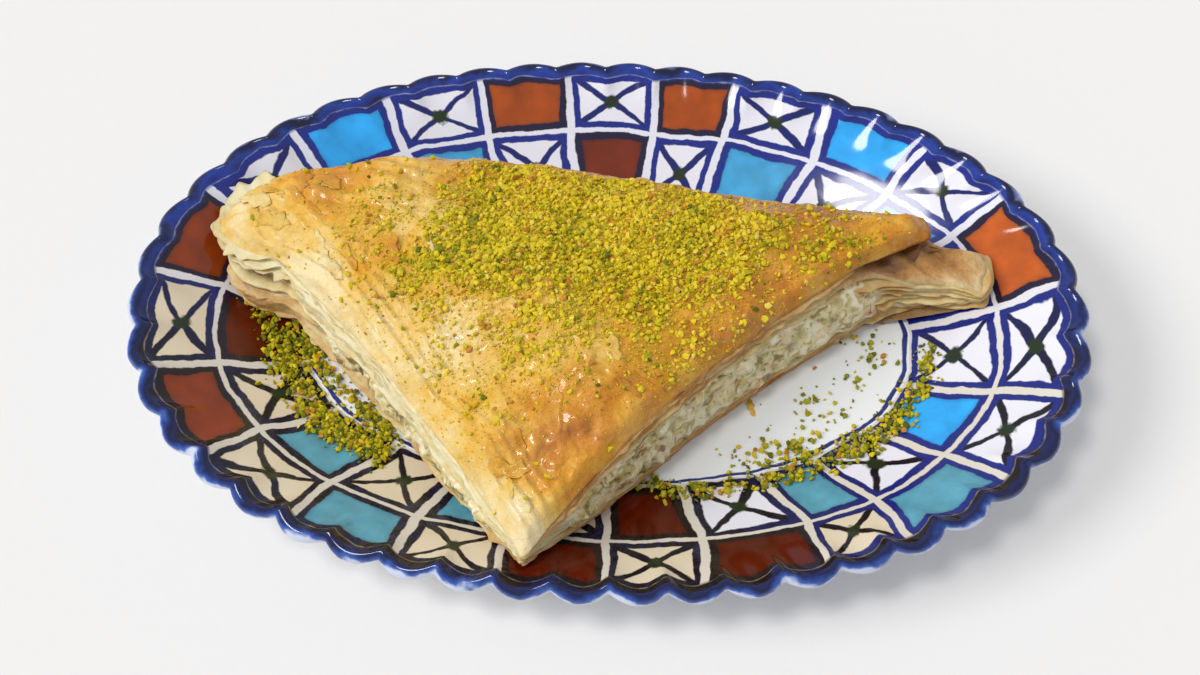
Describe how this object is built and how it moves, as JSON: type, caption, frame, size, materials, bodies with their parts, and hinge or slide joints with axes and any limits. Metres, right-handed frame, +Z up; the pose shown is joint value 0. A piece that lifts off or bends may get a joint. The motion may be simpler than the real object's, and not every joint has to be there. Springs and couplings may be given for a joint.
{
  "type": "baklava triangle on an oval plate",
  "caption": "Folded filo triangle with a pistachio cream filling and ground pistachio on top, lying on an oval painted plate with a scalloped rim.",
  "frame": {"origin": "on the table, under the middle of the plate's outline", "axes": "+X along the plate's length, towards the open end of the pastry with the wider flap; +Y towards the pastry's folded side, so its sharp tip points to -Y; +Z up"},
  "size_m": [0.2022, 0.1322, 0.0364],
  "materials": {
    "painted_glaze": "glossy clear glaze over painted lines and squares",
    "baked_filo": "thin brittle sheets, golden and glossy with syrup on top, matt and pale at the cut edges",
    "pistachio_cream": "soft, slightly moist"
  },
  "bodies": {
    "root": {"plate": "painted_glaze", "pastry": "baked_filo", "filling": "pistachio_cream"}
  },
  "joints": []
}
